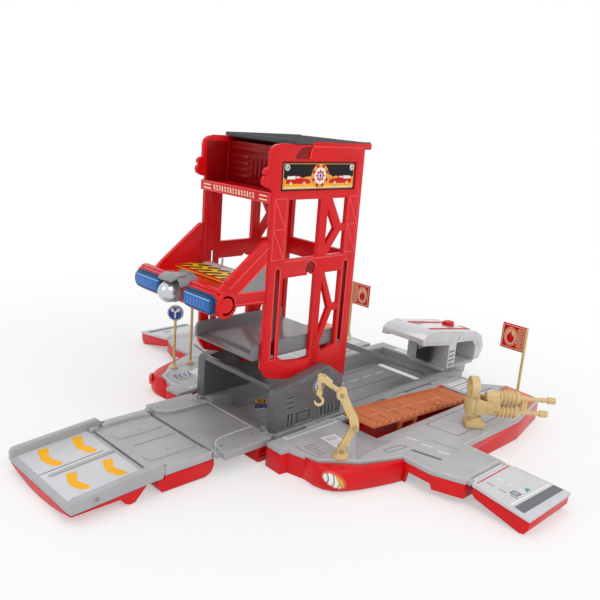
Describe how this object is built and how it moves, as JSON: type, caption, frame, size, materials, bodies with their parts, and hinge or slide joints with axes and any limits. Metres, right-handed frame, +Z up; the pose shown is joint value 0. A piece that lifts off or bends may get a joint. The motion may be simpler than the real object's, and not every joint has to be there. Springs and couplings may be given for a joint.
{
  "type": "toy parking garage",
  "caption": "Folding toy parking garage with lift tower, ramps, launcher and side panels that packs into a toy truck",
  "frame": {"origin": "middle of the footprint on the table, under the bounding box", "axes": "+X from the front ramp to the rear launcher, +Y from the near side panel (crane and cannon) to the far one (signs), +Z up"},
  "size_m": [0.476, 0.482, 0.247],
  "materials": {
    "red": "gloss moulded ABS",
    "dark_red": "satin moulded ABS",
    "light_gray": "satin moulded ABS",
    "dark_gray": "semi-gloss moulded ABS",
    "roof_gray": "fine-textured ABS",
    "steel": "drawn wire",
    "silver": "silver-painted plastic",
    "pearl": "pearl silver moulded plastic",
    "blue_lens": "polished tinted plastic",
    "yellow": "printed plate",
    "orange": "satin moulded plastic",
    "cream": "satin moulded plastic",
    "tyre": "matte black moulded plastic"
  },
  "bodies": {
    "chassis": {"chassis_tray": "light_gray", "front_bumper": "red", "side_plate_near": "dark_gray", "side_plate_far": "dark_gray", "cross_bar": "dark_gray", "pivot_pin_near": "silver", "pivot_pin_far": "silver", "hinge_rod_front": "steel", "hinge_rod_near": "steel", "hinge_rod_far": "steel"},
    "tower": {"tower_wall_near": "red", "tower_wall_far": "red", "rear_frame": "red", "shelf": "red", "top_back_panel": "dark_red", "roof_plate": "roof_gray", "nose": "red", "light_bar_bezel": "dark_gray", "lens_near": "blue_lens", "lens_far": "blue_lens", "turret_ball": "silver", "ball_saddle": "dark_gray", "hazard_plate": "yellow"},
    "lift": {"lift_platform": "dark_gray"},
    "rear_ramp": {"rear_ramp": "dark_gray"},
    "launcher": {"launcher_base": "light_gray", "launcher_body": "pearl"},
    "plunger": {"launcher_plunger": "dark_gray"},
    "trigger": {"launcher_trigger": "red"},
    "grille_panel": {"grille_panel": "light_gray"},
    "hood_panel": {"hood_panel": "light_gray", "hood_shell": "red"},
    "ramp_panel": {"ramp_panel": "light_gray", "ramp_shell": "red"},
    "near_panel": {"near_deck": "light_gray", "near_shell": "red", "cannon_base": "cream"},
    "near_flap": {"near_flap": "light_gray", "near_flap_shell": "red"},
    "near_wheel_front": {"near_wheel_front": "tyre"},
    "near_wheel_rear": {"near_wheel_rear": "tyre"},
    "bridge": {"bridge_plate": "orange"},
    "bridge_prop": {"bridge_prop": "orange"},
    "crane_turn": {"crane_base": "cream"},
    "crane_link": {"crane_link": "cream"},
    "crane_arm": {"crane_arm": "cream"},
    "crane_hook": {"crane_hook": "cream"},
    "cannon_turn": {"cannon_head": "cream"},
    "cannon_barrels": {"cannon_barrels": "cream"},
    "near_flag": {"near_flag": "red"},
    "far_panel": {"far_deck": "light_gray", "far_shell": "red"},
    "far_flap": {"far_flap": "light_gray", "far_flap_shell": "red"},
    "far_wheel_front": {"far_wheel_front": "tyre"},
    "far_wheel_rear": {"far_wheel_rear": "tyre"},
    "far_flag": {"far_flag": "red"},
    "sign_front": {"sign_front": "cream"},
    "sign_rear": {"sign_rear": "cream"}
  },
  "joints": [
    {"name": "tower_fold", "type": "hinge", "parent": "chassis", "child": "tower", "pos_m": [-0.021, 0, 0.05], "axis": [0, 1, 0], "range_deg": [0, 90]},
    {"name": "lift_slide", "type": "slide", "parent": "tower", "child": "lift", "axis": [0, 0, 1], "range_m": [0, 0.06]},
    {"name": "rear_ramp_fold", "type": "hinge", "parent": "tower", "child": "rear_ramp", "pos_m": [0.021, -0.0202, 0.075], "axis": [0, 1, 0], "range_deg": [-112.6, 0]},
    {"name": "launcher_slide", "type": "slide", "parent": "chassis", "child": "launcher", "axis": [1, 0, 0], "range_m": [0, 0.0751]},
    {"name": "plunger_slide", "type": "slide", "parent": "launcher", "child": "plunger", "axis": [-1, 0, 0], "range_m": [0, 0.012], "stiffness_N_per_m": 60},
    {"name": "trigger_press", "type": "slide", "parent": "launcher", "child": "trigger", "axis": [0, 0, -1], "range_m": [0, 0.003], "stiffness_N_per_m": 300},
    {"name": "grille_panel_fold", "type": "hinge", "parent": "chassis", "child": "grille_panel", "pos_m": [-0.069, 0, 0.0165], "axis": [0, 1, 0], "range_deg": [0, 55]},
    {"name": "hood_panel_fold", "type": "hinge", "parent": "grille_panel", "child": "hood_panel", "pos_m": [-0.122, 0, 0.0165], "axis": [0, 1, 0], "range_deg": [0, 80]},
    {"name": "ramp_panel_fold", "type": "hinge", "parent": "hood_panel", "child": "ramp_panel", "pos_m": [-0.1756, 0, 0.0165], "axis": [0, 1, 0], "range_deg": [-47, 0]},
    {"name": "near_panel_fold", "type": "hinge", "parent": "chassis", "child": "near_panel", "pos_m": [0.053, -0.0565, 0.018], "axis": [-1, 0, 0], "range_deg": [0, 30]},
    {"name": "far_panel_fold", "type": "hinge", "parent": "chassis", "child": "far_panel", "pos_m": [0.053, 0.0565, 0.018], "axis": [1, 0, 0], "range_deg": [0, 28]},
    {"name": "near_flap_fold", "type": "hinge", "parent": "near_panel", "child": "near_flap", "pos_m": [0.021, -0.191, 0.018], "axis": [-1, 0, 0], "range_deg": [0, 97]},
    {"name": "far_flap_fold", "type": "hinge", "parent": "far_panel", "child": "far_flap", "pos_m": [0.021, 0.191, 0.018], "axis": [1, 0, 0], "range_deg": [0, 97]},
    {"name": "near_wheel_front_spin", "type": "hinge", "parent": "near_panel", "child": "near_wheel_front", "pos_m": [-0.042, -0.0806, 0.006], "axis": [0, 0, 1], "continuous": true},
    {"name": "near_wheel_rear_spin", "type": "hinge", "parent": "near_panel", "child": "near_wheel_rear", "pos_m": [0.155, -0.0806, 0.006], "axis": [0, 0, 1], "continuous": true},
    {"name": "far_wheel_front_spin", "type": "hinge", "parent": "far_panel", "child": "far_wheel_front", "pos_m": [-0.042, 0.0806, 0.006], "axis": [0, 0, 1], "continuous": true},
    {"name": "far_wheel_rear_spin", "type": "hinge", "parent": "far_panel", "child": "far_wheel_rear", "pos_m": [0.155, 0.0806, 0.006], "axis": [0, 0, 1], "continuous": true},
    {"name": "bridge_lift", "type": "hinge", "parent": "near_panel", "child": "bridge", "pos_m": [0.135, -0.0855, 0.018], "axis": [0, 1, 0], "range_deg": [0, 25]},
    {"name": "prop_fold", "type": "hinge", "parent": "bridge", "child": "bridge_prop", "pos_m": [0.043, -0.0987, 0.02141], "axis": [0.9972, 0, -0.075], "range_deg": [0, 80]},
    {"name": "crane_swivel", "type": "hinge", "parent": "near_panel", "child": "crane_turn", "pos_m": [-0.0523, -0.109, 0.0208], "axis": [0, 0, 1], "range_deg": [-90, 90]},
    {"name": "crane_shoulder", "type": "hinge", "parent": "crane_turn", "child": "crane_link", "pos_m": [-0.0523, -0.109, 0.0262], "axis": [0.712, 0.7022, 0], "range_deg": [-30, 30]},
    {"name": "crane_elbow", "type": "hinge", "parent": "crane_link", "child": "crane_arm", "pos_m": [-0.04668, -0.1147, 0.0454], "axis": [0.712, 0.7022, 0], "range_deg": [-40, 40]},
    {"name": "crane_hook_swing", "type": "hinge", "parent": "crane_arm", "child": "crane_hook", "pos_m": [-0.06634, -0.09476, 0.0814], "axis": [0.712, 0.7022, 0], "range_deg": [-20, 45]},
    {"name": "cannon_swivel", "type": "hinge", "parent": "near_panel", "child": "cannon_turn", "pos_m": [0.0847, -0.1372, 0.0291], "axis": [0, 0, 1], "range_deg": [-30, 30]},
    {"name": "cannon_tilt", "type": "hinge", "parent": "cannon_turn", "child": "cannon_barrels", "pos_m": [0.09172, -0.14432, 0.0386], "axis": [-0.712, -0.7022, 0], "range_deg": [-8, 20]},
    {"name": "near_flag_turn", "type": "hinge", "parent": "near_panel", "child": "near_flag", "pos_m": [0.1796, -0.125, 0.05], "axis": [0, 0, 1], "range_deg": [-90, 90]},
    {"name": "far_flag_turn", "type": "hinge", "parent": "far_panel", "child": "far_flag", "pos_m": [0.1675, 0.0827, 0.05], "axis": [0, 0, 1], "range_deg": [-90, 90]},
    {"name": "sign_front_turn", "type": "hinge", "parent": "far_panel", "child": "sign_front", "pos_m": [-0.05, 0.1125, 0.05], "axis": [0, 0, 1], "range_deg": [-90, 90]},
    {"name": "sign_rear_turn", "type": "hinge", "parent": "far_panel", "child": "sign_rear", "pos_m": [-0.029, 0.115, 0.05], "axis": [0, 0, 1], "range_deg": [-90, 90]}
  ],
  "couplings": [
    {"joint": "rear_ramp_fold", "follows": "tower_fold", "ratio": -1.25},
    {"joint": "launcher_slide", "follows": "tower_fold", "m_per_rad": 0.0477}
  ]
}
